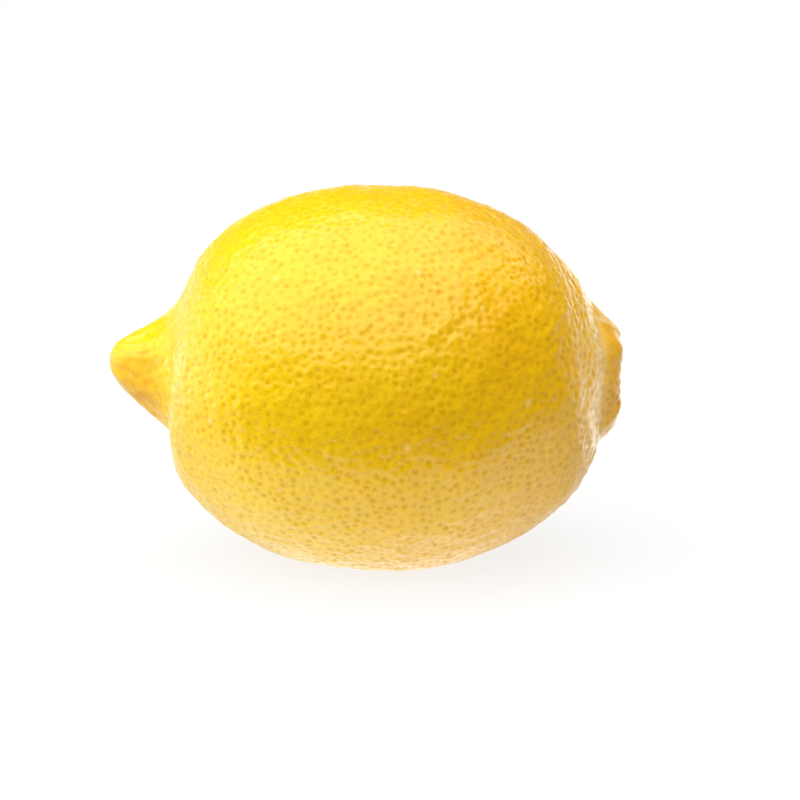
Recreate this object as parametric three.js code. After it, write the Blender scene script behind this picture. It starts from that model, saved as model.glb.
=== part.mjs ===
// A whole ripe lemon with its stem button still on it, lying on its side. Millimetres, +Z up.
// The long axis runs along X: the stem end looks to +X and the blossom nipple to -X.
// The origin is on the surface the fruit rests on, under the middle of its bounding box.

import * as THREE from "three";

// Driving dimensions of the body, measured from the point where the fruit is widest.
const GIRTH_RADIUS = 31;
const FLAT_DEPTH = 1;
const AXIS_HEIGHT = GIRTH_RADIUS - FLAT_DEPTH;
const STEM_HALF_LENGTH = 34.9;
const STEM_SQUARENESS = 2.06;
const BLOSSOM_HALF_LENGTH = 36;
const BLOSSOM_SQUARENESS = 2.39;

// The body is not quite round: it is a little oval, and a little three-sided with a slow twist.
const OVAL_SHARE = 0.006;
const OVAL_TURN = 0.6;
const THREE_SIDED_SHARE = 0.004;
const TWIST_LENGTH = 14;

// The nipple at the blossom end is a blunt cone that sits a little above the long axis.
const NIPPLE_HEIGHT = 8.7;
const NIPPLE_RADIUS = 6.7;
const NIPPLE_STEEPNESS = 2.62;
const NIPPLE_OFFSET = 1.3;
const NIPPLE_LEAN = 1.5;
const NIPPLE_FOOT_INNER = 8;
const NIPPLE_FOOT_OUTER = 18;
const NIPPLE_WRINKLES = 7;
const NIPPLE_WRINKLE_DEPTH = 0.16;
const NIPPLE_WRINKLE_TWIST = 3;

// The shoulder round the nipple: fuller below than above, with a raised lip at the front, a crest on
// that lip with a shallow hollow outside it, and a crease between the lip and the nipple's foot.
const TILT_RISE = 1.05;
const TILT_RADIUS = 14.6;
const TILT_WIDTH = 5.4;
const LIP_DIRECTION = THREE.MathUtils.degToRad(174);
const LIP_SPREAD = THREE.MathUtils.degToRad(36);
const LIP_RISE = 0.45;
const LIP_RADIUS = 13.5;
const LIP_WIDTH = 5;
const CREST_DIRECTION = THREE.MathUtils.degToRad(176);
const CREST_RISE = 0.3;
const CREST_RADIUS = 16.4;
const CREST_WIDTH = 2.2;
const HOLLOW_DEPTH = 0.28;
const HOLLOW_RADIUS = 20.8;
const HOLLOW_WIDTH = 2.8;
const CREASE_DIRECTION = THREE.MathUtils.degToRad(225);
const CREASE_SPREAD = THREE.MathUtils.degToRad(80);
const CREASE_DEPTH = 1.3;
const CREASE_RADIUS = 11.5;
const CREASE_WIDTH = 2.4;

// The collar at the stem end is a low ring with folds, round a basin that holds the stem button.
const COLLAR_HEIGHT = 2.5;
const COLLAR_RADIUS = 6.9;
const COLLAR_WIDTH = 3.5;
const BASIN_DEPTH = 2.6;
const BASIN_RADIUS = 5.6;
const BASIN_FLOOR_RADIUS = 2.5;
const FOLD_START = 5.2;
const FOLD_REACH = 8;
const FOLD_LENGTH = 4.6;

// A shallow groove and a low rim run round the collar, wider of it at the top.
const GROOVE_DEPTH = 0.26;
const GROOVE_RADIUS = 10.8;
const GROOVE_WIDTH = 1.3;
const RIM_RISE = 0.15;
const RIM_RADIUS = 13.4;
const RIM_WIDTH = 1.8;
const EDGE_STRETCH = 3.2;
const EDGE_STRETCH_DIRECTION = THREE.MathUtils.degToRad(88);
const EDGE_STRETCH_SPREAD = THREE.MathUtils.degToRad(32);
const EDGE_WAVE = 0.25;
const EDGE_WAVES = 5;

// The lower shoulder at the stem end is fuller than the upper one.
const SAG_RISE = 1.15;
const SAG_RADIUS = 18.4;
const SAG_WIDTH = 5.9;

// Each fold of the collar: its angle round the axis (0 back, 90 top, 180 front), rise and half-width,
// and how many degrees it turns for each millimetre outward from the middle of the collar's flank.
const COLLAR_FOLDS = [
  { angle: 24, rise: 0.8, width: 13, skew: 0 },
  { angle: 96, rise: 0.6, width: 18, skew: 0 },
  { angle: 104, rise: 0.3, width: 7, skew: 3.5 },
  { angle: 134, rise: 0.85, width: 19, skew: 0 },
  { angle: 213, rise: 0.55, width: 8, skew: 4.4 },
  { angle: 278, rise: 0.5, width: 12, skew: 0 },
  { angle: 333, rise: 0.8, width: 12, skew: 0 },
];

// The woody stem button: five short lobes round the scar that the cut stem left.
const BUTTON_RADIUS = 3.7;
const BUTTON_LOBES = 5;
const BUTTON_LOBE_RISE = 0.5;
const BUTTON_LOBE_PHASE = THREE.MathUtils.degToRad(136);
const BUTTON_THICKNESS = 1.7;
const BUTTON_CUP = 0.75;
const BUTTON_TILT = 0.05;
const SCAR_RADIUS = 1.7;
const SCAR_RISE = 0.5;
const BUTTON_GAP = 0.3;

// Where the button's outline bends: shares of its radius or of the scar's, and small heights.
const BUTTON_FOOT_SHARE = 0.45;
const BUTTON_FOOT_LIFT = 0.05;
const BUTTON_CUP_SHARE = 0.4;
const BUTTON_BROW_SHARE = 0.8;
const SCAR_FOOT_SHARE = 1.15;
const SCAR_FOOT_DROP = 0.2;
const SCAR_BROW_SHARE = 0.85;
const SCAR_BROW_DROP = 0.15;

// Mesh fineness. Rings crowd towards the two ends, where the nipple and the collar are.
const FRUIT_RINGS = 64;
const FRUIT_SEGMENTS = 72;
const RING_CROWDING = 0.5;
const BUTTON_RINGS = 16;
const BUTTON_SEGMENTS = 50;
const MERIDIAN_DIVISIONS = 1500;

const RIND_YELLOW = 0xf0c014;
const RIND_ROUGHNESS = 0.4;
const STEM_BROWN = 0x6f6a44;
const STEM_ROUGHNESS = 0.85;

/** A bell of height 1 at `centre`, falling off over `width`. */
function bell(value, centre, width) {
  return Math.exp(-(((value - centre) / width) ** 2));
}

/** The smallest angle between two directions, in radians. */
function angleBetween(first, second) {
  const turn = Math.abs(first - second) % (2 * Math.PI);
  return Math.min(turn, 2 * Math.PI - turn);
}

/** How far the nipple stands out of the body's end at a radius from its axis. */
function nippleHeight(radius) {
  return NIPPLE_HEIGHT * Math.exp(-((radius / NIPPLE_RADIUS) ** NIPPLE_STEEPNESS));
}

/** How far the collar stands out of the body's end, with the basin sunk in its middle. */
function collarHeight(radius) {
  const ring = COLLAR_HEIGHT * (radius < COLLAR_RADIUS ? 1 : bell(radius, COLLAR_RADIUS, COLLAR_WIDTH));
  const floor = 1 - THREE.MathUtils.smoothstep(radius, BASIN_FLOOR_RADIUS, BASIN_RADIUS);
  return ring - BASIN_DEPTH * floor;
}

/** The fruit's outline from the middle of the stem basin to the nipple's tip, as (x, radius). */
class FruitMeridian extends THREE.Curve {
  constructor() {
    super();
    this.arcLengthDivisions = MERIDIAN_DIVISIONS;
  }

  getPoint(t, target = new THREE.Vector2()) {
    const across = Math.max(0, Math.sin(Math.PI * t));
    const along = Math.abs(Math.cos(Math.PI * t));
    if (t < 0.5) {
      const radius = GIRTH_RADIUS * across ** (2 / STEM_SQUARENESS);
      const reach = STEM_HALF_LENGTH * along ** (2 / STEM_SQUARENESS);
      return target.set(reach + collarHeight(radius), radius);
    }
    const radius = GIRTH_RADIUS * across ** (2 / BLOSSOM_SQUARENESS);
    const reach = BLOSSOM_HALF_LENGTH * along ** (2 / BLOSSOM_SQUARENESS);
    return target.set(-reach - nippleHeight(radius), radius);
  }
}

/** The stem button's outline from its underside, round its edge, to the middle of the scar. */
function buttonMeridian() {
  const edge = 0.5 * BUTTON_THICKNESS;
  const top = BUTTON_THICKNESS + SCAR_RISE;
  return new THREE.CatmullRomCurve3([
    new THREE.Vector3(0, 0, 0),
    new THREE.Vector3(BUTTON_FOOT_LIFT, BUTTON_FOOT_SHARE * BUTTON_RADIUS, 0),
    new THREE.Vector3(BUTTON_CUP_SHARE * BUTTON_CUP, BUTTON_BROW_SHARE * BUTTON_RADIUS, 0),
    new THREE.Vector3(BUTTON_CUP + edge, BUTTON_RADIUS, 0),
    new THREE.Vector3(BUTTON_THICKNESS, BUTTON_BROW_SHARE * BUTTON_RADIUS, 0),
    new THREE.Vector3(BUTTON_THICKNESS - SCAR_FOOT_DROP, SCAR_FOOT_SHARE * SCAR_RADIUS, 0),
    new THREE.Vector3(top - SCAR_BROW_DROP, SCAR_BROW_SHARE * SCAR_RADIUS, 0),
    new THREE.Vector3(top, 0, 0),
  ]);
}

/** The radius measured so that the collar's uneven edge lies at one value. */
function collarEdge(radius, phi) {
  const upper = EDGE_STRETCH * bell(angleBetween(phi, EDGE_STRETCH_DIRECTION), 0, EDGE_STRETCH_SPREAD);
  return radius - upper + EDGE_WAVE * Math.sin(EDGE_WAVES * phi);
}

/** The rise of the collar's folds at a place. */
function foldRise(radius, phi) {
  return COLLAR_FOLDS.reduce((sum, fold) => {
    const crest = THREE.MathUtils.degToRad(fold.angle + fold.skew * (radius - FOLD_REACH));
    return sum + fold.rise * bell(angleBetween(phi, crest), 0, THREE.MathUtils.degToRad(fold.width));
  }, 0);
}

/** The relief at the stem end: the collar's folds, groove and rim, and the fuller lower shoulder. */
function stemRelief(radius, phi) {
  const inside = THREE.MathUtils.smoothstep(radius, FOLD_START, FOLD_REACH);
  const outside = bell(Math.max(radius, FOLD_REACH), FOLD_REACH, FOLD_LENGTH);
  const edge = collarEdge(radius, phi);
  const groove = GROOVE_DEPTH * bell(edge, GROOVE_RADIUS, GROOVE_WIDTH);
  const rim = RIM_RISE * bell(edge, RIM_RADIUS, RIM_WIDTH);
  const sag = SAG_RISE * bell(radius, SAG_RADIUS, SAG_WIDTH) * 0.5 * (1 - Math.sin(phi));
  return foldRise(radius, phi) * inside * outside + sag + rim - groove;
}

/** The relief at the blossom end: tilt, lip, crest, hollow and crease, and the nipple's wrinkles. */
function blossomRelief(radius, phi) {
  const tilt = TILT_RISE * -Math.sin(phi) * bell(radius, TILT_RADIUS, TILT_WIDTH);
  const lipTurn = bell(angleBetween(phi, LIP_DIRECTION), 0, LIP_SPREAD);
  const lip = LIP_RISE * lipTurn * bell(radius, LIP_RADIUS, LIP_WIDTH);
  const crestTurn = bell(angleBetween(phi, CREST_DIRECTION), 0, LIP_SPREAD);
  const crest = CREST_RISE * crestTurn * bell(radius, CREST_RADIUS, CREST_WIDTH);
  const hollow = HOLLOW_DEPTH * crestTurn * bell(radius, HOLLOW_RADIUS, HOLLOW_WIDTH);
  const creaseTurn = bell(angleBetween(phi, CREASE_DIRECTION), 0, CREASE_SPREAD);
  const crease = CREASE_DEPTH * creaseTurn * bell(radius, CREASE_RADIUS, CREASE_WIDTH);
  const wave = Math.sin(NIPPLE_WRINKLES * phi + radius / NIPPLE_WRINKLE_TWIST);
  const wrinkle = NIPPLE_WRINKLE_DEPTH * wave * bell(radius, NIPPLE_RADIUS, 0.5 * NIPPLE_RADIUS);
  return tilt + lip + crest - hollow - crease + wrinkle;
}

/** How much wider than a true circle the body is at a place, as a small fraction. */
function girthWave(x, phi) {
  const oval = OVAL_SHARE * Math.cos(2 * phi - OVAL_TURN);
  return oval + THREE_SIDED_SHARE * Math.cos(3 * phi - x / TWIST_LENGTH);
}

const fruitMeridian = new FruitMeridian();

/** A point of the fruit's skin: `u` runs from the stem to the nipple's tip, `phi` round the axis. */
function fruitPoint(u, phi) {
  const crowded = u - (RING_CROWDING * Math.sin(2 * Math.PI * u)) / (2 * Math.PI);
  const base = fruitMeridian.getPointAt(crowded);
  const tangent = fruitMeridian.getTangentAt(crowded);
  const relief = base.x > 0 ? stemRelief(base.y, phi) : blossomRelief(base.y, phi);
  const x = base.x + relief * tangent.y;
  const radius = (base.y - relief * tangent.x) * (1 + girthWave(base.x, phi));
  const nipple = base.x > 0 ? 0 : nippleHeight(base.y) / NIPPLE_HEIGHT;
  const faded = THREE.MathUtils.smoothstep(base.y, NIPPLE_FOOT_INNER, NIPPLE_FOOT_OUTER);
  const foot = base.x > 0 ? 0 : 1 - faded;
  const rise = NIPPLE_OFFSET * foot + NIPPLE_LEAN * nipple;
  const z = radius * Math.sin(phi) + rise;
  return new THREE.Vector3(x, radius * Math.cos(phi), Math.max(z, -AXIS_HEIGHT));
}

/** A point of the stem button, in its own frame with the underside's middle at the origin. */
function buttonPoint(meridian, u, phi) {
  const base = meridian.getPointAt(u);
  const out = base.y / BUTTON_RADIUS;
  const lobe = Math.cos(BUTTON_LOBES * (phi - BUTTON_LOBE_PHASE));
  const radius = base.y + BUTTON_LOBE_RISE * lobe * out ** 3;
  const tilt = BUTTON_TILT * radius * Math.cos(phi - BUTTON_LOBE_PHASE);
  return new THREE.Vector3(base.x + tilt, radius * Math.cos(phi), radius * Math.sin(phi));
}

/** A closed skin over rings of points along X, with one point at each end. */
function closedSkin(rings, segments, pointAt) {
  const corners = [];
  for (let ring = 1; ring < rings; ring += 1) {
    for (let step = 0; step < segments; step += 1) {
      corners.push(pointAt(ring / rings, (2 * Math.PI * step) / segments));
    }
  }
  const first = corners.push(pointAt(0, 0)) - 1;
  const last = corners.push(pointAt(1, 0)) - 1;
  const at = (ring, step) => (ring - 1) * segments + (step % segments);
  const faces = [];
  for (let step = 0; step < segments; step += 1) {
    faces.push(first, at(1, step), at(1, step + 1));
    for (let ring = 1; ring < rings - 1; ring += 1) {
      faces.push(at(ring, step), at(ring + 1, step), at(ring + 1, step + 1));
      faces.push(at(ring, step), at(ring + 1, step + 1), at(ring, step + 1));
    }
    faces.push(at(rings - 1, step), last, at(rings - 1, step + 1));
  }
  const geometry = new THREE.BufferGeometry().setFromPoints(corners);
  geometry.setIndex(faces);
  geometry.computeVertexNormals();
  return geometry;
}

/** The whole fruit, grown as one piece: body, nipple and collar. */
function makeFruit() {
  const rind = new THREE.MeshStandardMaterial({ color: RIND_YELLOW, roughness: RIND_ROUGHNESS });
  const fruit = new THREE.Mesh(closedSkin(FRUIT_RINGS, FRUIT_SEGMENTS, fruitPoint), rind);
  fruit.name = "fruit";
  return fruit;
}

/** The stem button, seated a hair above the floor of the basin. */
function makeStemButton() {
  const meridian = buttonMeridian();
  const skin = closedSkin(BUTTON_RINGS, BUTTON_SEGMENTS, (u, phi) => buttonPoint(meridian, 1 - u, phi));
  const wood = new THREE.MeshStandardMaterial({ color: STEM_BROWN, roughness: STEM_ROUGHNESS });
  const button = new THREE.Mesh(skin, wood);
  button.name = "stem_button";
  button.position.x = STEM_HALF_LENGTH + COLLAR_HEIGHT - BASIN_DEPTH + BUTTON_GAP;
  return button;
}

const lemon = new THREE.Group();
lemon.add(makeFruit(), makeStemButton());
const middle = new THREE.Box3().setFromObject(lemon, true).getCenter(new THREE.Vector3());
lemon.position.set(-middle.x, -middle.y, AXIS_HEIGHT);

export default lemon;
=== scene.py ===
"""A whole ripe lemon lying on its side: its looks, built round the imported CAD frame.

The long axis runs along X, with the stem end at +X and the blossom nipple at -X. Shapes are worked out in
millimetres from the middle of the body and then put where the frame's boxes say, in metres.
"""

import itertools
import logging
import math
from dataclasses import dataclass, field
from enum import Enum

import bpy
import numpy as np
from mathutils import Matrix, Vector, kdtree

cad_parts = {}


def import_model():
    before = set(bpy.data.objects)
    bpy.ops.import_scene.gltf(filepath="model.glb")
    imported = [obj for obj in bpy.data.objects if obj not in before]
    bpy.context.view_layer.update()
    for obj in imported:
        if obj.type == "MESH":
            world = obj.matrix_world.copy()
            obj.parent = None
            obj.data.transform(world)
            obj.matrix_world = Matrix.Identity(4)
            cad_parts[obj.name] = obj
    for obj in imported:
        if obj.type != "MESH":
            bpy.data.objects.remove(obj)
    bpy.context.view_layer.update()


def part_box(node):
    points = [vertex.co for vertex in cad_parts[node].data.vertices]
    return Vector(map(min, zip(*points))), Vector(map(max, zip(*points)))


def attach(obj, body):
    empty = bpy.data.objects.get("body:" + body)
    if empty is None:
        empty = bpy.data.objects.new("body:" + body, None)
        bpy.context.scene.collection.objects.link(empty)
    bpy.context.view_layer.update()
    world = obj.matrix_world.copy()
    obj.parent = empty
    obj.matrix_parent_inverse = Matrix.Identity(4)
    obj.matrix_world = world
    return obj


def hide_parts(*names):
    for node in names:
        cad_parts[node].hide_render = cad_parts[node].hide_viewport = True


LOG = logging.getLogger("lemon")
MM = 0.001
Array = np.ndarray
Colour = tuple[float, float, float]


def bell(value: Array, centre: float, width: float) -> Array:
    """Returns a bell of height 1 at the centre, falling off over the width."""
    return np.exp(-(((value - centre) / width) ** 2))


def ramp(value: Array, low: float, high: float) -> Array:
    """Returns a smooth step from 0 at low to 1 at high."""
    part = np.clip((value - low) / (high - low), 0.0, 1.0)
    return part * part * (3.0 - 2.0 * part)


def turn_between(first: Array, second: float | Array) -> Array:
    """Returns the smallest angle between two directions, in radians."""
    turn = np.abs(first - second) % (2.0 * math.pi)
    return np.minimum(turn, 2.0 * math.pi - turn)


def skin_normals(points: Array, quads: Array) -> Array:
    """Works out the unit normal at each corner of a skin of quads.

    Args:
        points: The corners, as rows of x, y and z.
        quads: Four corner numbers for each face, anticlockwise from outside.

    Returns:
        One outward unit normal for each corner.
    """
    first, second, third, fourth = (points[quads[:, side]] for side in range(4))
    faces = np.cross(third - first, fourth - second)
    total = np.zeros_like(points)
    for axis in range(3):
        spread = np.repeat(faces[:, axis], 4)
        total[:, axis] = np.bincount(quads.ravel(), spread, len(points))
    return total / np.maximum(np.linalg.norm(total, axis=1, keepdims=True), 1e-12)


def smooth_outline(knots: Array, count: int) -> Array:
    """Draws a smooth line through given points.

    Args:
        knots: The points, as rows of two numbers.
        count: How many evenly spaced points to return.

    Returns:
        The points of the smooth line, as rows of two numbers.
    """
    padded = np.vstack([2 * knots[0] - knots[1], knots, 2 * knots[-1] - knots[-2]])
    steps = np.linspace(0.0, len(knots) - 1.0, 40 * len(knots))
    span = np.minimum(steps.astype(int), len(knots) - 2)
    part = (steps - span)[:, None]
    before, start, end, after = (padded[span + shift] for shift in range(4))
    line = start + 0.5 * part * (
        end - before + part * (
            2 * before - 5 * start + 4 * end - after + part * (3 * (start - end) + after - before)
        )
    )
    length = np.concatenate([[0.0], np.cumsum(np.linalg.norm(np.diff(line, axis=0), axis=1))])
    even = np.linspace(0.0, length[-1], count)
    return np.column_stack([np.interp(even, length, line[:, axis]) for axis in range(2)])


@dataclass(frozen=True)
class Noise:
    """Smooth noise in space, with features of about one size in millimetres."""

    size: float
    seed: int
    octaves: int = 1
    side: int = 48

    def at(self, points: Array) -> Array:
        """Reads the noise at some points.

        Args:
            points: Rows of x, y and z in millimetres.

        Returns:
            One value for each point, mostly between -1 and 1.
        """
        total = np.zeros(len(points))
        for octave in range(self.octaves):
            total += self._layer(points * (2**octave / self.size), self.seed + octave) / 2**octave
        return total

    def _layer(self, points: Array, seed: int) -> Array:
        """Returns one layer of gradient noise at points given in grid cells."""
        gradients = np.random.default_rng(seed).normal(size=(self.side, self.side, self.side, 3))
        gradients /= np.linalg.norm(gradients, axis=-1, keepdims=True)
        cell = np.floor(points).astype(int)
        inside = points - cell
        fade = inside**3 * (inside * (inside * 6.0 - 15.0) + 10.0)
        total = np.zeros(len(points))
        for corner in itertools.product((0, 1), repeat=3):
            index = (cell + corner) % self.side
            gradient = gradients[index[:, 0], index[:, 1], index[:, 2]]
            weight = np.prod(np.where(corner, fade, 1.0 - fade), axis=1)
            total += weight * ((inside - corner) * gradient).sum(axis=1)
        return 1.6 * total


class CubeSide(Enum):
    """The six sides of the cube that the skin's grid is wrapped from.

    Each holds the side's outward axis, its two in-plane axes and its cell in the chart.
    """

    STEM = ((1, 0, 0), (0, 1, 0), (0, 0, 1), (0, 0))
    BLOSSOM = ((-1, 0, 0), (0, -1, 0), (0, 0, 1), (1, 0))
    BACK = ((0, 1, 0), (-1, 0, 0), (0, 0, 1), (2, 0))
    FRONT = ((0, -1, 0), (1, 0, 0), (0, 0, 1), (0, 1))
    TOP = ((0, 0, 1), (1, 0, 0), (0, 1, 0), (1, 1))
    UNDERSIDE = ((0, 0, -1), (1, 0, 0), (0, -1, 0), (2, 1))


@dataclass(frozen=True)
class SphereGrid:
    """An even sphere of quads, wrapped from a cube and welded along its edges."""

    cells: int
    chart_columns: int = 3
    chart_rows: int = 2
    chart_margin: float = 0.012

    def build(self) -> tuple[Array, Array, Array]:
        """Wraps the six sides.

        Returns:
            The unit directions, the quads' corner numbers and the chart place of each quad's corners.
        """
        count = self.cells
        steps = np.arange(count + 1)
        across, up = np.meshgrid(steps, steps, indexing="ij")
        lattice, charts = [], []
        for side in CubeSide:
            out, right, top, (column, row) = side.value
            place = (
                count * np.array(out)
                + (2 * across - count)[..., None] * np.array(right)
                + (2 * up - count)[..., None] * np.array(top)
            )
            lattice.append(place.reshape(-1, 3))
            inner = 1.0 - 2.0 * self.chart_margin
            chart_x = (column + self.chart_margin + inner * across / count) / self.chart_columns
            chart_y = (row + self.chart_margin + inner * up / count) / self.chart_rows
            charts.append(np.stack([chart_x, chart_y], axis=-1).reshape(-1, 2))
        places = np.concatenate(lattice)
        span = 2 * count + 1
        keys = ((places[:, 0] + count) * span + places[:, 1] + count) * span + places[:, 2] + count
        _, first, welded = np.unique(keys, return_index=True, return_inverse=True)
        directions = np.tan(places[first] / count * (math.pi / 4.0))
        directions /= np.linalg.norm(directions, axis=1, keepdims=True)
        corners = self._side_quads()
        sides = len(CubeSide)
        loose = np.concatenate([corners + side * (count + 1) ** 2 for side in range(sides)])
        return directions, welded.reshape(-1)[loose], np.concatenate(charts)[loose]

    def _side_quads(self) -> Array:
        """Returns the corner numbers of one side's quads, before welding."""
        row = self.cells + 1
        start = (np.arange(self.cells)[:, None] * row + np.arange(self.cells)).ravel()
        return np.column_stack([start, start + row, start + row + 1, start + 1])


@dataclass(frozen=True)
class Side:
    """A part of the way round the long axis: its middle direction and its half-width, in degrees."""

    direction: float
    spread: float

    def at(self, around: Array) -> Array:
        """Returns how much each angle belongs to this side, from 0 to 1."""
        return bell(turn_between(around, math.radians(self.direction)), 0.0, math.radians(self.spread))


@dataclass(frozen=True)
class Fold:
    """One fold of the collar.

    It has a direction in degrees, a rise in millimetres, a half-width in degrees and a skew in degrees for
    each millimetre beyond the start radius.
    """

    angle: float
    rise: float
    width: float
    skew: float = 0.0
    start: float = 8.0

    def turn(self, radius: Array, around: Array) -> Array:
        """Returns the angle in degrees between a place and the fold's crest."""
        crest = self.angle + self.skew * (radius - self.start)
        return np.degrees(turn_between(around, np.radians(crest)))


@dataclass(frozen=True)
class LemonForm:
    """The lemon's large shape, in millimetres from the middle of the body."""

    girth_radius: float = 31.0
    flat_depth: float = 1.0
    stem_half_length: float = 34.9
    stem_squareness: float = 2.06
    blossom_half_length: float = 36.0
    blossom_squareness: float = 2.39
    nipple_height: float = 8.7
    nipple_radius: float = 6.7
    nipple_steepness: float = 2.62
    nipple_offset: float = 1.3
    nipple_lean: float = 1.5
    nipple_wrinkles: int = 7
    nipple_wrinkle_depth: float = 0.16
    nipple_wrinkle_length: float = 3.0
    nipple_foot_inner: float = 8.0
    nipple_foot_outer: float = 18.0
    tilt_rise: float = 1.05
    tilt_radius: float = 14.6
    tilt_width: float = 5.4
    lip_side: Side = Side(174.0, 36.0)
    lip_rise: float = 0.45
    lip_radius: float = 13.5
    lip_width: float = 5.0
    crest_side: Side = Side(176.0, 36.0)
    crest_rise: float = 0.3
    crest_radius: float = 16.4
    crest_width: float = 2.2
    hollow_depth: float = 0.28
    hollow_radius: float = 20.8
    hollow_width: float = 2.8
    crease_side: Side = Side(225.0, 80.0)
    crease_depth: float = 1.3
    crease_radius: float = 11.5
    crease_width: float = 2.4
    collar_height: float = 2.5
    collar_radius: float = 6.9
    collar_width: float = 3.5
    basin_depth: float = 2.6
    basin_radius: float = 5.6
    basin_floor_share: float = 0.45
    fold_start: float = 5.2
    fold_reach: float = 8.0
    fold_length: float = 4.6
    groove_radius: float = 10.8
    groove_depth: float = 0.26
    groove_width: float = 1.3
    groove_stretch: float = 3.2
    groove_side: Side = Side(88.0, 32.0)
    edge_waves: float = 5.0
    edge_wave_depth: float = 0.25
    rim_rise: float = 0.15
    rim_radius: float = 13.4
    rim_width: float = 1.8
    sag_rise: float = 1.15
    sag_radius: float = 18.4
    sag_width: float = 5.9
    oval_share: float = 0.006
    oval_turn: float = 0.6
    three_sided_share: float = 0.004
    twist_length: float = 14.0
    folds: tuple[Fold, ...] = (
        Fold(24, 0.8, 13),
        Fold(96, 0.6, 18),
        Fold(104, 0.3, 7, 3.5),
        Fold(134, 0.85, 19),
        Fold(213, 0.55, 8, 4.4),
        Fold(278, 0.5, 12),
        Fold(333, 0.8, 12),
    )

    @property
    def axis_height(self) -> float:
        """The height of the long axis above the surface that the lemon rests on."""
        return self.girth_radius - self.flat_depth

    def nipple(self, radius: Array) -> Array:
        """Returns how far the nipple stands out of the body's end at a radius."""
        return self.nipple_height * np.exp(-((radius / self.nipple_radius) ** self.nipple_steepness))

    def collar(self, radius: Array) -> Array:
        """Returns how far the collar stands out of the body's end, with its basin."""
        flank = bell(radius, self.collar_radius, self.collar_width)
        ring = self.collar_height * np.where(radius < self.collar_radius, 1.0, flank)
        floor = 1.0 - ramp(radius, self.basin_floor_share * self.basin_radius, self.basin_radius)
        return ring - self.basin_depth * floor

    def meridian(self, count: int = 6000) -> tuple[Array, Array, Array, Array]:
        """Draws the outline from the stem basin to the nipple's tip.

        Args:
            count: How many points to work the outline out at.

        Returns:
            The part of the outline's length at each point, x, radius, and the unit tangents as rows.
        """
        turn = np.linspace(0.0, math.pi, count)
        at_stem = turn < 0.5 * math.pi
        power = 2.0 / np.where(at_stem, self.stem_squareness, self.blossom_squareness)
        half = np.where(at_stem, self.stem_half_length, self.blossom_half_length)
        radius = self.girth_radius * np.maximum(np.sin(turn), 0.0) ** power
        reach = half * np.abs(np.cos(turn)) ** power
        x = np.where(at_stem, reach + self.collar(radius), -reach - self.nipple(radius))
        length = np.concatenate([[0.0], np.cumsum(np.hypot(np.diff(x), np.diff(radius)))])
        tangent = np.column_stack([np.gradient(x), np.gradient(radius)])
        tangent /= np.linalg.norm(tangent, axis=1, keepdims=True)
        return length / length[-1], x, radius, tangent

    def stem_relief(self, radius: Array, around: Array) -> Array:
        """Returns the folds of the collar and the fuller lower shoulder, along the normal."""
        folds = sum(fold.rise * bell(fold.turn(radius, around), 0.0, fold.width) for fold in self.folds)
        inside = ramp(radius, self.fold_start, self.fold_reach)
        outside = bell(np.maximum(radius, self.fold_reach), self.fold_reach, self.fold_length)
        sag = self.sag_rise * bell(radius, self.sag_radius, self.sag_width)
        wander = self.collar_edge(radius, around)
        groove = self.groove_depth * bell(wander, self.groove_radius, self.groove_width)
        rim = self.rim_rise * bell(wander, self.rim_radius, self.rim_width)
        return folds * inside * outside + 0.5 * sag * (1.0 - np.sin(around)) + rim - groove

    def collar_edge(self, radius: Array, around: Array) -> Array:
        """Returns the radius measured so that the collar's uneven edge lies at one value."""
        upper = self.groove_stretch * self.groove_side.at(around)
        return radius - upper + self.edge_wave_depth * np.sin(self.edge_waves * around)

    def blossom_relief(self, radius: Array, around: Array) -> Array:
        """Returns the tilted shoulder, its lip and crease, and the nipple's wrinkles, along the normal."""
        tilt = -self.tilt_rise * np.sin(around) * bell(radius, self.tilt_radius, self.tilt_width)
        lip = self.lip_rise * self.lip_side.at(around)
        crease = self.crease_depth * self.crease_side.at(around)
        front = self.crest_side.at(around)
        crest = self.crest_rise * bell(radius, self.crest_radius, self.crest_width)
        hollow = self.hollow_depth * bell(radius, self.hollow_radius, self.hollow_width)
        wave = np.sin(self.nipple_wrinkles * around + radius / self.nipple_wrinkle_length)
        return (
            tilt
            + lip * bell(radius, self.lip_radius, self.lip_width)
            + front * (crest - hollow)
            - crease * bell(radius, self.crease_radius, self.crease_width)
            + self.nipple_wrinkle_depth * wave * bell(radius, self.nipple_radius, 0.5 * self.nipple_radius)
        )

    def girth_wave(self, x: Array, around: Array) -> Array:
        """Returns how much wider than a true circle the body is at a place, as a fraction."""
        oval = self.oval_share * np.cos(2.0 * around - self.oval_turn)
        return oval + self.three_sided_share * np.cos(3.0 * around - x / self.twist_length)

    def surface(self, directions: Array) -> tuple[Array, Array, Array]:
        """Wraps unit directions onto the lemon's large shape.

        Args:
            directions: Rows of x, y and z, of length 1.

        Returns:
            The points of the skin, the radius from the long axis before relief, and the angle round it.
        """
        part, x_line, radius_line, tangent_line = self.meridian()
        along = np.arccos(np.clip(directions[:, 0], -1.0, 1.0)) / math.pi
        around = np.arctan2(directions[:, 2], directions[:, 1])
        x = np.interp(along, part, x_line)
        radius = np.interp(along, part, radius_line)
        lean_x = np.interp(along, part, tangent_line[:, 0])
        lean_radius = np.interp(along, part, tangent_line[:, 1])
        at_stem = x > 0.0
        relief = np.where(at_stem, self.stem_relief(radius, around), self.blossom_relief(radius, around))
        out = (radius - relief * lean_x) * (1.0 + self.girth_wave(x, around))
        nipple = np.where(at_stem, 0.0, self.nipple(radius) / self.nipple_height)
        foot = np.where(at_stem, 0.0, 1.0 - ramp(radius, self.nipple_foot_inner, self.nipple_foot_outer))
        rise = self.nipple_offset * foot + self.nipple_lean * nipple
        height = out * np.sin(around) + rise
        return np.column_stack([x + relief * lean_radius, out * np.cos(around), height]), radius, around


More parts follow.
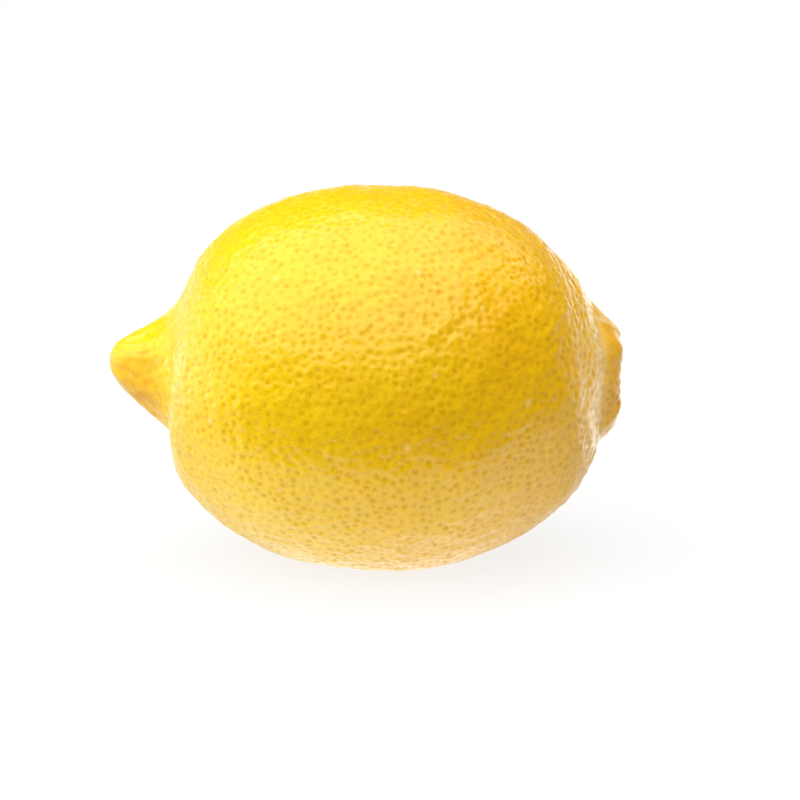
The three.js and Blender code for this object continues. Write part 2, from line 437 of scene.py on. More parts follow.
@dataclass(frozen=True)
class OilGlands:
    """The dimpled oil glands of the rind, sizes in millimetres."""

    spacing: float = 1.13
    depth: float = 0.055
    radius: float = 0.34
    dimple_depth: float = 0.065
    dimple_radius: float = 0.62
    wobble: float = 0.22
    wobble_size: float = 1.1
    web_range: tuple[float, float] = (0.62, 0.98)
    candidates: int = 60000
    seed: int = 11

    def scatter(self, points: Array, crowding: Array) -> Array:
        """Chooses evenly spread gland centres on the skin.

        Args:
            points: The corners of the skin.
            crowding: How much wider than usual the glands stand at each corner.

        Returns:
            The glands' centres, as rows of x, y and z.
        """
        order = np.random.default_rng(self.seed).permutation(len(points))[: self.candidates]
        cell = 2.0 * self.spacing
        taken: dict[tuple[int, int, int], list[int]] = {}
        chosen = []
        cells = np.floor(points[order] / cell).astype(int)
        for number, home in zip(order.tolist(), map(tuple, cells.tolist())):
            place = points[number]
            gap = self.spacing * crowding[number]
            near = [
                other
                for shift in itertools.product((-1, 0, 1), repeat=3)
                for other in taken.get((home[0] + shift[0], home[1] + shift[1], home[2] + shift[2]), ())
            ]
            if near and np.min(np.sum((points[near] - place) ** 2, axis=1)) < gap * gap:
                continue
            taken.setdefault(home, []).append(number)
            chosen.append(number)
        return points[chosen]

    def read(self, points: Array, centres: Array) -> tuple[Array, Array, Array, Array]:
        """Measures how deep in a gland each corner of the skin lies.

        Args:
            points: The corners of the skin.
            centres: The glands' centres.

        Returns:
            The pit under each corner (0 to 1), the raised web between glands (0 to 1),
            the wider dimple round each pit (0 to 1) and a steady random number for the nearest gland.
        """
        tree = kdtree.KDTree(len(centres))
        for number, centre in enumerate(centres.tolist()):
            tree.insert(centre, number)
        tree.balance()
        shake = [Noise(self.wobble_size, self.seed + axis).at(points) for axis in (1, 2, 3)]
        moved = points + self.wobble * np.column_stack(shake)
        nearest = [tree.find_n(place, 2) for place in moved.tolist()]
        first = np.array([pair[0][2] for pair in nearest])
        second = np.array([pair[1][2] for pair in nearest])
        number = np.array([pair[0][1] for pair in nearest])
        chance = np.random.default_rng(self.seed).random(len(centres))[number]
        pit = bell(first, 0.0, self.radius * (0.75 + 0.5 * chance))
        dimple = bell(first, 0.0, self.dimple_radius)
        web = ramp(first / np.maximum(second, 1e-6), *self.web_range)
        return pit, web, dimple, chance


@dataclass(frozen=True)
class GlintFlecks:
    """Small pale flecks on the rind, painted as glints."""

    count: int = 70
    radius: float = 0.36
    wobble: float = 0.3
    wobble_size: float = 0.9
    seed: int = 29

    def read(self, points: Array) -> Array:
        """Returns how strongly each corner of the skin lies in a fleck, from 0 to 1."""
        random = np.random.default_rng(self.seed)
        centres = points[random.integers(0, len(points), self.count)]
        sizes = self.radius * random.uniform(0.5, 1.3, self.count)
        strength = np.zeros(len(points))
        shake = [Noise(self.wobble_size, self.seed + axis).at(points) for axis in range(3)]
        shaken = points + self.wobble * np.column_stack(shake)
        for centre, size in zip(centres, sizes):
            near = np.abs(shaken - centre).max(axis=1) < 3.0 * size
            away = np.linalg.norm(shaken[near] - centre, axis=1)
            strength[near] = np.maximum(strength[near], bell(away, 0.0, size))
        return strength


class Graph:
    """A short way to build one material's nodes."""

    def __init__(self, name: str) -> None:
        """Starts an empty material with the given name."""
        self.material = bpy.data.materials.new(name)
        self.material.use_nodes = True
        self.tree = self.material.node_tree
        self.tree.nodes.clear()
        self.output = self.tree.nodes.new("ShaderNodeOutputMaterial")

    def node(self, kind: str, settings: dict | None = None, **inputs: object) -> bpy.types.Node:
        """Adds a node.

        Args:
            kind: The node's type, without its ShaderNode prefix.
            settings: Properties to set on the node itself.
            inputs: Values or sockets for its inputs, by name with _ for a space, or by n0, n1 for a number.

        Returns:
            The new node.
        """
        made = self.tree.nodes.new("ShaderNode" + kind)
        for key, value in (settings or {}).items():
            setattr(made, key, value)
        for key, value in inputs.items():
            socket = made.inputs[int(key[1:])] if key[1:].isdigit() else made.inputs[key.replace("_", " ")]
            if isinstance(value, bpy.types.NodeSocket):
                self.tree.links.new(value, socket)
            else:
                socket.default_value = value
        return made

    def attribute(self, name: str) -> bpy.types.NodeSocket:
        """Returns the value of a named attribute of the mesh."""
        return self.node("Attribute", {"attribute_name": name}).outputs["Fac"]

    def mix(self, amount: object, first: object, second: object, blend: str = "MIX") -> bpy.types.NodeSocket:
        """Returns a mix of two colours by an amount."""
        made = self.node("Mix", {"data_type": "RGBA", "blend_type": blend}, n0=amount, n6=first, n7=second)
        return made.outputs[2]

    def math(self, operation: str, first: object, second: object = 0.0) -> bpy.types.NodeSocket:
        """Returns the result of one sum on two values."""
        return self.node("Math", {"operation": operation}, n0=first, n1=second).outputs[0]

    def spread(
        self, value: object, low: float, high: float, start: float, end: float
    ) -> bpy.types.NodeSocket:
        """Returns a value moved from the range low to high onto the range start to end."""
        return self.node("MapRange", None, n0=value, n1=low, n2=high, n3=start, n4=end).outputs[0]

    def noise(self, size: float, detail: float = 2.0, roughness: float = 0.5) -> bpy.types.NodeSocket:
        """Returns noise with features of about the given size in millimetres, fixed to the piece."""
        place = self.node("TexCoord").outputs["Object"]
        scale = 1.0 / (size * MM)
        made = self.node("TexNoise", None, Vector=place, Scale=scale, Detail=detail, Roughness=roughness)
        return made.outputs["Fac"]


def rgba(colour: Colour) -> tuple[float, float, float, float]:
    """Returns a colour with full alpha."""
    return (*colour, 1.0)


@dataclass(frozen=True)
class RindFinish:
    """Waxy lemon rind: golden yellow with darker oil glands under a thin gloss."""

    yellow: Colour = (0.83, 0.545, 0.002)
    gold: Colour = (0.80, 0.43, 0.002)
    gland: Colour = (0.60, 0.30, 0.0005)
    web: Colour = (0.86, 0.56, 0.008)
    # A deeper orange: partly the collar's own colour, partly painted shade on the nipple's lower side and in
    # the collar's hollow.
    amber_and_shade: Colour = (0.71, 0.345, 0.010)
    # Darker brown laid into the pits on the front of the collar.
    collar_dark_pits: Colour = (0.40, 0.19, 0.012)
    # Pale: a painted sheen round the collar's edge, and painted highlights along the fold crests and the
    # blossom shoulder's lip.
    pale: Colour = (0.86, 0.68, 0.38)
    fleck: Colour = (0.85, 0.70, 0.38)
    roughness: float = 0.25
    refraction: float = 1.45
    subsurface: float = 0.10
    subsurface_depth_mm: float = 1.6
    web_strength: float = 0.25
    pit_strength: float = 0.68
    dark_pit_strength: float = 0.7
    pale_strength: float = 0.6
    fleck_strength: float = 0.4
    pit_dulling: float = 0.7
    amber_and_shade_dulling: float = 0.5

    def material(self) -> bpy.types.Material:
        """Builds the rind's material from the skin's named attributes."""
        graph = Graph("lemon_rind")
        pit, web = graph.attribute("pit"), graph.attribute("web")
        fleck, amber_and_shade = graph.attribute("fleck"), graph.attribute("amber_and_shade")
        blotch = graph.spread(graph.noise(9.0, 3.0), 0.35, 0.65, -0.15, 0.15)
        ripe = graph.math("ADD", graph.attribute("ripe"), blotch)
        colour = graph.mix(ripe, rgba(self.yellow), rgba(self.gold))
        colour = graph.mix(graph.math("MULTIPLY", web, self.web_strength), colour, rgba(self.web))
        colour = graph.mix(graph.math("MULTIPLY", pit, self.pit_strength), colour, rgba(self.gland))
        # Deeper orange mixed in: partly the collar's own colour, partly painted shade.
        colour = graph.mix(amber_and_shade, colour, rgba(self.amber_and_shade))
        # Darkens the pits on the front of the collar.
        darkened_pits = graph.math("MULTIPLY", graph.attribute("collar_dark_pits"), self.dark_pit_strength)
        colour = graph.mix(darkened_pits, colour, rgba(self.collar_dark_pits))
        # Painted sheen and highlights, mixed in pale.
        painted_sheen = graph.math("MULTIPLY", graph.attribute("pale"), self.pale_strength)
        colour = graph.mix(painted_sheen, colour, rgba(self.pale))
        grain = graph.spread(graph.noise(0.28, 3.0, 0.6), 0.3, 0.7, 0.89, 1.11)
        tone = graph.node("CombineColor", None, Red=grain, Green=grain, Blue=grain).outputs[0]
        colour = graph.mix(1.0, colour, tone, "MULTIPLY")
        # Pale flecks mixed in as painted glints.
        colour = graph.mix(graph.math("MULTIPLY", fleck, self.fleck_strength), colour, rgba(self.fleck))
        rough = graph.spread(graph.noise(2.5, 3.0), 0.3, 0.7, self.roughness - 0.05, self.roughness + 0.08)
        rough = graph.math("ADD", rough, graph.math("MULTIPLY", pit, 0.10))
        rough = graph.math("ADD", rough, graph.math("MULTIPLY", fleck, 0.15))
        rough = graph.math("ADD", rough, graph.math("MULTIPLY", amber_and_shade, 0.15))
        fine = graph.node("Bump", None, Strength=0.25, Distance=0.06 * MM, Height=graph.noise(0.28, 3.0))
        ripples = graph.noise(1.2, 2.0)
        coarse = graph.node(
            "Bump", None, Strength=0.5, Distance=0.12 * MM, Height=ripples, Normal=fine.outputs[0]
        )
        shader = graph.node("BsdfPrincipled", {"subsurface_method": "RANDOM_WALK"}, Base_Color=colour)
        shader.inputs["Subsurface Weight"].default_value = self.subsurface
        shader.inputs["Subsurface Radius"].default_value = (1.0, 0.45, 0.1)
        shader.inputs["Subsurface Scale"].default_value = self.subsurface_depth_mm * MM
        shader.inputs["IOR"].default_value = self.refraction
        dulled_pit = graph.math("MULTIPLY", pit, self.pit_dulling)
        dulled = graph.math("ADD", dulled_pit, graph.math("MULTIPLY", amber_and_shade, self.amber_and_shade_dulling))
        shine = graph.math("MULTIPLY", graph.math("SUBTRACT", 1.0, dulled), 0.5)
        graph.tree.links.new(shine, shader.inputs["Specular IOR Level"])
        graph.tree.links.new(rough, shader.inputs["Roughness"])
        graph.tree.links.new(coarse.outputs[0], shader.inputs["Normal"])
        graph.tree.links.new(shader.outputs[0], graph.output.inputs["Surface"])
        return graph.material


@dataclass(frozen=True)
class StemWoodFinish:
    """Dried calyx tissue: grey-brown, fibrous and dull."""

    bark: Colour = (0.155, 0.120, 0.060)
    pale: Colour = (0.300, 0.245, 0.140)
    green: Colour = (0.150, 0.150, 0.050)
    # Near-black: painted shade in the splits between the lobes, and a dark ring round the scar.
    split_shade_and_scar: Colour = (0.045, 0.032, 0.018)
    roughness: float = 0.82

    def material(self) -> bpy.types.Material:
        """Builds the stem button's material from its fibre attribute and its mask of painted shade in the
        splits and a dark ring round the scar.
        """
        graph = Graph("lemon_stem_wood")
        fibre, split_shade_and_scar = graph.attribute("fibre"), graph.attribute("split_shade_and_scar")
        blotch = graph.spread(graph.noise(1.6, 3.0), 0.35, 0.65, 0.0, 1.0)
        colour = graph.mix(blotch, rgba(self.bark), rgba(self.green))
        colour = graph.mix(graph.math("MULTIPLY", fibre, 0.7), colour, rgba(self.pale))
        colour = graph.mix(split_shade_and_scar, colour, rgba(self.split_shade_and_scar))
        rough = graph.spread(graph.noise(0.5, 2.0), 0.3, 0.7, self.roughness - 0.08, self.roughness + 0.08)
        grain = graph.noise(0.22, 4.0, 0.6)
        bump = graph.node("Bump", None, Strength=0.5, Distance=0.08 * MM, Height=grain).outputs[0]
        shader = graph.node("BsdfPrincipled", None, Base_Color=colour, Roughness=rough, Normal=bump)
        graph.tree.links.new(shader.outputs[0], graph.output.inputs["Surface"])
        return graph.material


@dataclass(frozen=True)
class FloorFinish:
    """A dark table top that glows evenly, so that it looks pale and takes only a faint shadow."""

    colour: Colour = (0.13, 0.13, 0.13)
    roughness: float = 0.8
    glow: float = 0.82

    def material(self) -> bpy.types.Material:
        """Builds the table top's material."""
        graph = Graph("studio_table")
        shader = graph.node("BsdfPrincipled", None, Base_Color=rgba(self.colour), Roughness=self.roughness)
        shader.inputs["Specular IOR Level"].default_value = 0.1
        shader.inputs["Emission Color"].default_value = (1.0, 1.0, 1.0, 1.0)
        shader.inputs["Emission Strength"].default_value = self.glow
        graph.tree.links.new(shader.outputs[0], graph.output.inputs["Surface"])
        return graph.material


def skin_object(name: str, points: Array, quads: Array, values: dict[str, Array]) -> bpy.types.Object:
    """Makes a smooth-shaded object from a skin of faces.

    Args:
        name: The piece's name.
        points: The corners, in metres.
        quads: Four corner numbers for each face; a repeated last corner makes a triangle.
        values: Values for each corner, kept as named attributes.

    Returns:
        The new object, linked to the scene.
    """
    mesh = bpy.data.meshes.new(name)
    faces = [face if face[2] != face[3] else face[:3] for face in quads.tolist()]
    mesh.from_pydata(points.tolist(), [], faces)
    mesh.shade_smooth()
    for key, value in values.items():
        layer = mesh.attributes.new(key, "FLOAT", "POINT")
        layer.data.foreach_set("value", value.astype(np.float32))
    mesh.update()
    piece = bpy.data.objects.new(name, mesh)
    bpy.context.scene.collection.objects.link(piece)
    return piece


@dataclass
class Fruit:
    """The whole fruit: body, nipple and collar, with its dimpled rind. Sizes in millimetres."""

    form: LemonForm
    glands: OilGlands
    flecks: GlintFlecks
    finish: RindFinish
    grid: SphereGrid = SphereGrid(256)
    swell: float = 0.32
    swell_size: float = 9.0
    ripple: float = 0.12
    ripple_size: float = 2.1
    swell_seed: int = 39
    ripple_seed: int = 7
    flat_rounding: float = 0.5
    front: Side = Side(188.0, 38.0)
    top: Side = Side(84.0, 20.0)
    # The sides where the collar's edge carries a painted sheen.
    sheen_side: Side = Side(165.0, 85.0)
    shoulder_side: Side = Side(182.0, 45.0)
    collar_range: tuple[float, float] = (8.8, 11.2)
    crest_line_width: float = 2.2
    dark_pit_depth: float = 0.05
    body_middle: Array = field(init=False)

    def build(self) -> bpy.types.Object:
        """Builds the fruit, dresses it and puts it where the frame's fruit is.

        Returns:
            The finished piece.
        """
        directions, quads, charts = self.grid.build()
        base, radius, around = self.form.surface(directions)
        self.body_middle = self._body_middle(base)
        values = self._zones(base, radius, around)
        normals = skin_normals(base, quads)
        points = base + normals * self._relief(base, radius, around, values)[:, None]
        points[:, 2] = self._rest_flat(points[:, 2])
        placed = (points + self.body_middle) * MM
        piece = skin_object("lemon_fruit", placed, quads, values)
        chart = piece.data.uv_layers.new(name="OFBake")
        chart.uv.foreach_set("vector", charts.reshape(-1).astype(np.float32))
        piece.data.materials.append(self.finish.material())
        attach(piece, "root")
        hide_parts("fruit")
        return piece

    def _body_middle(self, base: Array) -> Array:
        """Returns where the middle of the body lies in the frame, in millimetres."""
        low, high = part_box("fruit")
        middle = 0.5 * (np.array(low) + np.array(high)) / MM
        own = 0.5 * (base.min(axis=0) + base.max(axis=0))
        return np.array([middle[0] - own[0], middle[1] - own[1], self.form.axis_height])

    def _rest_flat(self, height: Array) -> Array:
        """Returns heights with the underside pressed flat, its edge a little rounded."""
        floor = -self.form.axis_height
        part = np.clip((height - floor) / self.flat_rounding + 0.5, 0.0, 1.0)
        pressed = floor + self.flat_rounding * 0.5 * part * part
        return np.where(height > floor + 0.5 * self.flat_rounding, height, pressed)

    def _zones(self, base: Array, radius: Array, around: Array) -> dict[str, Array]:
        """Works out where the rind's features lie.

        Args:
            base: The corners of the skin before relief.
            radius: Their distance from the long axis.
            around: Their angle round the axis.

        Returns:
            The value of each feature at each corner, by name.
        """
        at_stem = base[:, 0] > 0.0
        facing = self.front.at(around)
        clear = 7.0 + 5.5 * (1.0 - facing)
        bare_nipple = 0.75 * (1.0 - ramp(radius, 4.0, 10.0))
        bare = np.where(at_stem, 1.0 - ramp(radius, clear - 1.5, clear), bare_nipple)
        sparse = np.where(at_stem, 0.0, 1.0 - ramp(radius, 9.0, 24.0))
        crowding = 1.0 + 0.16 * Noise(6.0, 5).at(base) + 0.25 * sparse
        centres = self.glands.scatter(base, crowding)
        pit, web, dimple, chance = self.glands.read(base, centres)
        LOG.info("%d oil glands", len(centres))
        shown = (1.0 - bare) * (0.55 + 0.45 * chance)
        collar, edge = self._collar(base, radius, around)
        nipple = np.where(at_stem, 0.0, 1.0 - ramp(radius, 6.5, 11.0))
        # The nipple is painted a deeper orange on its lower side, as painted shade.
        low_side = 0.5 * (1.0 - np.sin(around)) + 0.16 * Noise(2.6, 45, 2).at(base)
        streak = ramp(Noise(1.5, 43, 2).at(base * np.array([0.4, 1.0, 1.0])), -0.35, 0.4)
        tip = 0.5 + 0.5 * ramp(radius, 3.0, 6.5)
        # The collar is painted a deeper orange, more on its front and upper sides: partly its own colour,
        # partly painted shade in its hollow.
        collar_amber_and_shade = collar * (0.4 + 0.4 * facing + 0.5 * self.top.at(around))
        amber_and_shade = collar_amber_and_shade + nipple * tip * ramp(low_side, 0.1, 0.5) * (0.5 + 0.5 * streak)
        mottle = 0.6 + 0.6 * Noise(1.3, 31, 2).at(base)
        # Painted sheen on a band round the collar's edge; painted highlights along the fold crests and the
        # shoulder's lip.
        ring = bell(edge, 11.4, 1.7) * self.sheen_side.at(around)
        lines = np.where(at_stem, self._crests(radius, around, edge), 0.0)
        lip = bell(radius, 16.8, 2.1) * self.shoulder_side.at(around)
        return {
            "ripe": ramp(base[:, 0], -34.0, 34.0),
            "pit": pit * shown,
            "web": web * (1.0 - bare),
            "dimple": dimple * shown,
            "fleck": self.flecks.read(base) * (1.0 - 0.6 * bare),
            # Darker pits on the front of the collar, also pressed in a little by the relief.
            "collar_dark_pits": collar * facing * pit * ramp(radius, 5.5, 7.0),
            "pale": np.clip(np.where(at_stem, ring, 0.5 * lip) * mottle + lines, 0.0, 1.0),
            "amber_and_shade": np.clip(amber_and_shade + 0.12 * Noise(2.0, 17, 2).at(base) * (collar + nipple), 0.0, 1.0),
        }

    def _collar(self, base: Array, radius: Array, around: Array) -> tuple[Array, Array]:
        """Returns how much each corner is part of the collar, and its radius from the collar's edge."""
        edge = self.form.collar_edge(radius, around)
        return np.where(base[:, 0] > 0.0, 1.0 - ramp(edge, *self.collar_range), 0.0), edge

    def _crests(self, radius: Array, around: Array, edge: Array) -> Array:
        """Returns how near each corner lies to the crest line of a fold, from 0 to 1, for a painted
        highlight along it.
        """
        skewed = [fold for fold in self.form.folds if fold.skew]
        lines = [bell(fold.turn(radius, around), 0.0, self.crest_line_width) for fold in skewed]
        return np.max(lines, axis=0) * ramp(radius, 5.8, 6.8) * (1.0 - ramp(edge, 10.5, 12.5))

    def _relief(self, base: Array, radius: Array, around: Array, values: dict[str, Array]) -> Array:
        """Works out how far the rind stands off its large shape.

        Args:
            base: The corners of the skin before relief.
            radius: Their distance from the long axis.
            around: Their angle round the axis.
            values: The rind's features from _zones.

        Returns:
            The height of each corner along its normal.
        """
        at_stem = base[:, 0] > 0.0
        ends = 0.5 + 0.5 * ramp(radius, 6.0, 13.0)
        ends = np.where(at_stem, ends * ramp(radius, 4.5, 7.0), ends)
        swell = self.swell * Noise(self.swell_size, self.swell_seed).at(base)
        ripple = self.ripple * Noise(self.ripple_size, self.ripple_seed, 2).at(base)
        pits = self.glands.depth * values["pit"] + self.glands.dimple_depth * values["dimple"]
        drawn = np.where(at_stem, 0.03 * bell(radius, 9.0, 3.4), 0.05 * bell(radius, 6.5, 3.2))
        drawn = drawn + np.where(at_stem, 0.05 * bell(radius, 6.1, 1.3), 0.0)
        strands = drawn * np.sin(23.0 * around + 4.0 * Noise(5.0, 13).at(base))
        return ends * (swell + ripple) - pits + strands - self.dark_pit_depth * values["collar_dark_pits"]


@dataclass
class StemButton:
    """The woody calyx button in the stem basin: five short lobes round the cut stem's scar."""

    finish: StemWoodFinish
    radius: float = 3.7
    thickness: float = 1.7
    lobes: int = 5
    lobe_rise: float = 0.5
    lobe_phase: float = 136.0
    cup: float = 0.75
    tilt: float = 0.05
    scar_radius: float = 1.7
    scar_rise: float = 0.5
    rings: int = 90
    segments: int = 240
    seed: int = 41

    def build(self) -> bpy.types.Object:
        """Builds the button, dresses it and fits it to the frame's stem button.

        Returns:
            The finished piece.
        """
        outline = smooth_outline(self._outline(), self.rings + 1)[1:-1]
        turn = np.linspace(0.0, 2.0 * math.pi, self.segments, endpoint=False)
        x, radius = (np.repeat(outline[:, axis], self.segments) for axis in range(2))
        around = np.tile(turn, len(outline))
        lobe = np.cos(self.lobes * (around - math.radians(self.lobe_phase)))
        part = radius / self.radius
        upper = np.repeat(np.arange(len(outline)) > len(outline) // 2, self.segments)
        grain = np.column_stack([3.0 * np.cos(around), 3.0 * np.sin(around), 0.4 * radius])
        fibre = Noise(0.35, self.seed, 2).at(grain)
        split = bell(np.abs(np.sin(0.5 * self.lobes * (around - math.radians(self.lobe_phase)))), 1.0, 0.12)
        out = radius + self.lobe_rise * lobe * part**3
        lift = 0.10 * fibre * ramp(part, 0.2, 0.6) - 0.35 * split * ramp(part, 0.5, 1.0)
        slope = self.tilt * out * np.cos(around - math.radians(self.lobe_phase))
        x = x + slope + np.where(upper, lift, 0.0)
        points = np.column_stack([x, out * np.cos(around), out * np.sin(around)])
        scar = bell(part * self.radius, self.scar_radius, 0.25)
        values = {
            "fibre": np.clip(0.5 + 0.8 * fibre, 0.0, 1.0),
            # Painted shade in the splits between the lobes, and a dark ring round the scar.
            "split_shade_and_scar": np.clip(0.8 * split * ramp(part, 0.5, 1.0) + 0.6 * scar, 0.0, 1.0),
        }
        ends = np.array([[0.0, 0.0, 0.0], [self.thickness + self.scar_rise, 0.0, 0.0]])
        points = np.vstack([points, ends])
        values = {key: np.append(value, [0.5, 0.5]) for key, value in values.items()}
        piece = skin_object("lemon_stem_button", self._fitted(points), self._quads(len(outline)), values)
        piece.data.materials.append(self.finish.material())
        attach(piece, "root")
        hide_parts("stem_button")
        return piece

    def _outline(self) -> Array:
        """Returns the outline from the underside, round the edge, to the middle of the scar."""
        return np.array([
            (0.0, 0.0),
            (0.05, 0.45 * self.radius),
            (0.4 * self.cup, 0.8 * self.radius),
            (self.cup + 0.5 * self.thickness, self.radius),
            (self.thickness, 0.8 * self.radius),
            (self.thickness - 0.2, 1.15 * self.scar_radius),
            (self.thickness + self.scar_rise - 0.15, 0.85 * self.scar_radius),
            (self.thickness + self.scar_rise, 0.0),
        ])

    def _quads(self, rings: int) -> Array:
        """Returns the faces between the rings, and the fans that close the two ends."""
        step = np.arange(self.segments)
        after = (step + 1) % self.segments
        faces = []
        for ring in range(rings - 1):
            near, far = ring * self.segments, (ring + 1) * self.segments
            faces.append(np.column_stack([near + step, near + after, far + after, far + step]))
        first, last = rings * self.segments, rings * self.segments + 1
        top = (rings - 1) * self.segments
        faces.append(np.column_stack([np.full_like(step, first), after, step, step]))
        tip = np.full_like(step, last)
        faces.append(np.column_stack([top + step, top + after, tip, tip]))
        return np.concatenate(faces)

    def _fitted(self, points: Array) -> Array:
        """Returns the points moved and scaled into the frame's stem button, in metres."""
        low, high = (np.array(corner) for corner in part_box("stem_button"))
        own_low, own_high = points.min(axis=0), points.max(axis=0)
        scale = float(np.min((high - low) / (own_high - own_low)))
        middle = 0.5 * (low + high)
        return middle + (points - 0.5 * (own_low + own_high)) * scale


class Lamp(Enum):
    """The shapes a lamp's light-giving face can have."""

    ROUND = "ELLIPSE"
    SQUARE = "RECTANGLE"


class Reach(Enum):
    """What a lamp's light shows in: everything, only soft shading, or only reflections."""

    ALL = (True, True)
    SHADING = (True, False)
    REFLECTIONS = (False, True)


@dataclass(frozen=True)
class SoftLight:
    """One large soft lamp. Sizes in metres, radiance in watts per square metre and steradian."""

    name: str
    face: Lamp
    size: tuple[float, float]
    place: tuple[float, float, float]
    shines: tuple[float, float, float]
    radiance: float
    reach: Reach = Reach.ALL

    def hang(self, body_middle: Vector) -> None:
        """Hangs the lamp at its place from the lemon's middle.

        Args:
            body_middle: The middle of the lemon's body, in metres.
        """
        light = bpy.data.lights.new(self.name, "AREA")
        light.shape = self.face.value
        light.size, light.size_y = self.size
        share = 0.25 * math.pi if self.face is Lamp.ROUND else 1.0
        light.energy = self.radiance * math.pi * share * light.size * light.size_y
        lamp = bpy.data.objects.new(self.name, light)
        lamp.location = body_middle + Vector(self.place)
        lamp.rotation_euler = Vector(self.shines).to_track_quat("-Z", "Y").to_euler()
        lamp.visible_camera = False
        lamp.visible_diffuse, lamp.visible_glossy = self.reach.value
        bpy.context.scene.collection.objects.link(lamp)


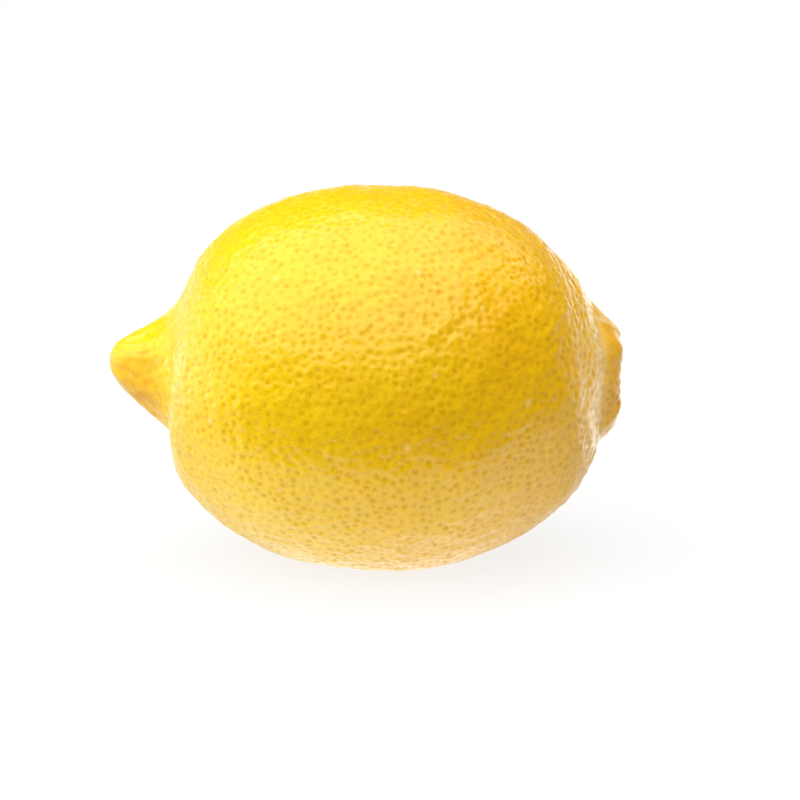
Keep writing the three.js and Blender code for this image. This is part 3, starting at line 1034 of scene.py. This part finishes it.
@dataclass
class Studio:
    """A pale lit table, soft lamps above and to the left, and the camera. Sizes in metres."""

    floor: FloorFinish
    table_low: tuple[float, float] = (-0.40, -0.058)
    table_high: tuple[float, float] = (0.40, 0.45)
    lamps: tuple[SoftLight, ...] = (
        SoftLight(
            "softbox", Lamp.ROUND, size=(7.0, 4.9), place=(-1.9, -1.15, 2.0),
            shines=(0, 0, -1), radiance=2.5,
        ),
        SoftLight(
            "softbox_core", Lamp.ROUND, size=(6.6, 3.0), place=(-1.8, -2.32, 2.0),
            shines=(0, 0, -1), radiance=1.7,
        ),
        SoftLight(
            "side_card", Lamp.SQUARE, size=(2.8, 2.0), place=(-1.97, 0.35, 0.0),
            shines=(1.97, -0.35, 0.0), radiance=1.2,
        ),
        SoftLight(
            "side_lamp", Lamp.SQUARE, size=(0.9, 0.9), place=(-1.85, 0.75, -0.25),
            shines=(1.85, -0.75, 0.25), radiance=2.2,
        ),
        SoftLight(
            "right_card", Lamp.SQUARE, size=(2.5, 1.0), place=(1.46, 1.36, -0.14),
            shines=(-1.46, -1.36, 0.14), radiance=1.5, reach=Reach.REFLECTIONS,
        ),
        SoftLight(
            "back_card", Lamp.SQUARE, size=(3.4, 0.7), place=(0.0, 2.0, 0.05),
            shines=(0.0, -2.0, -0.05), radiance=0.9, reach=Reach.REFLECTIONS,
        ),
        SoftLight(
            "front_fill", Lamp.SQUARE, size=(2.0, 2.0), place=(-0.5, -2.8, 0.9),
            shines=(0.5, 2.8, -0.9), radiance=1.6, reach=Reach.SHADING,
        ),
        SoftLight(
            "right_top", Lamp.ROUND, size=(1.8, 1.8), place=(1.1, 1.2, 2.0),
            shines=(-1.1, -1.2, -2.0), radiance=1.6,
        ),
        SoftLight(
            "sheen", Lamp.ROUND, size=(0.21, 0.055), place=(-0.005, -0.034, -0.0298),
            shines=(0, 0, 1), radiance=0.8, reach=Reach.REFLECTIONS,
        ),
        SoftLight(
            "sheen_core", Lamp.ROUND, size=(0.15, 0.035), place=(-0.005, -0.034, -0.0297),
            shines=(0, 0, 1), radiance=0.8, reach=Reach.REFLECTIONS,
        ),
        SoftLight(
            "sheen_back", Lamp.ROUND, size=(0.26, 0.20), place=(0.14, 0.12, -0.0298),
            shines=(0, 0, 1), radiance=1.5, reach=Reach.REFLECTIONS,
        ),
    )
    fill_radiance: float = 0.07
    backdrop_radiance: float = 1.0
    lens: float = 100.0
    distance: float = 0.359
    elevation: float = 12.0
    aim_right: float = 0.0019
    aim_down: float = 0.0037

    def build(self, body_middle: Vector) -> None:
        """Sets the table, the lights, the surroundings and the camera.

        Args:
            body_middle: The middle of the lemon's body, in metres.
        """
        self._table()
        for lamp in self.lamps:
            lamp.hang(body_middle)
        self._surroundings()
        self._camera(body_middle)
        bpy.context.scene.view_settings.view_transform = "Standard"

    def _table(self) -> None:
        """Lays the table's top under the lemon."""
        (left, front), (right, back) = self.table_low, self.table_high
        corners = np.array([(left, front, 0.0), (right, front, 0.0), (right, back, 0.0), (left, back, 0.0)])
        table = skin_object("studio_table", corners, np.array([(0, 1, 2, 3)]), {})
        table.data.materials.append(self.floor.material())

    def _surroundings(self) -> None:
        """Sets a dim room round the lemon, with a pale backdrop where the camera looks past it."""
        world = bpy.data.worlds.new("studio")
        world.use_nodes = True
        nodes, links = world.node_tree.nodes, world.node_tree.links
        nodes.clear()
        room, backdrop = nodes.new("ShaderNodeBackground"), nodes.new("ShaderNodeBackground")
        room.inputs["Strength"].default_value = self.fill_radiance
        backdrop.inputs["Strength"].default_value = self.backdrop_radiance
        path, mix = nodes.new("ShaderNodeLightPath"), nodes.new("ShaderNodeMixShader")
        output = nodes.new("ShaderNodeOutputWorld")
        for shader in (room, backdrop):
            shader.inputs["Color"].default_value = (1.0, 1.0, 1.0, 1.0)
        links.new(path.outputs["Is Camera Ray"], mix.inputs[0])
        links.new(room.outputs[0], mix.inputs[1])
        links.new(backdrop.outputs[0], mix.inputs[2])
        links.new(mix.outputs[0], output.inputs["Surface"])
        bpy.context.scene.world = world

    def _camera(self, body_middle: Vector) -> None:
        """Puts the camera in front of the lemon, looking slightly down."""
        camera = bpy.data.cameras.new("camera")
        camera.lens = self.lens
        camera.sensor_width = 36.0
        camera.clip_start = 0.01
        holder = bpy.data.objects.new("camera", camera)
        tilt = math.radians(self.elevation)
        aim = body_middle + Vector((self.aim_right, 0.0, -self.aim_down))
        holder.location = aim + self.distance * Vector((0.0, -math.cos(tilt), math.sin(tilt)))
        holder.rotation_euler = (math.radians(90.0) - tilt, 0.0, 0.0)
        bpy.context.scene.collection.objects.link(holder)
        bpy.context.scene.camera = holder


def report(piece: bpy.types.Object) -> None:
    """Logs a piece's name, faces and size."""
    size = ", ".join(f"{1000 * length:.1f}" for length in piece.dimensions)
    LOG.info("%s: %d faces, %s mm", piece.name, len(piece.data.polygons), size)


def main() -> None:
    """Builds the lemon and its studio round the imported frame."""
    logging.basicConfig(level=logging.INFO, format="%(name)s: %(message)s")
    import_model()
    fruit = Fruit(LemonForm(), OilGlands(), GlintFlecks(), RindFinish())
    report(fruit.build())
    report(StemButton(StemWoodFinish()).build())
    Studio(FloorFinish()).build(Vector(fruit.body_middle) * MM)
    bpy.context.view_layer.update()


if __name__ == "__main__":
    main()
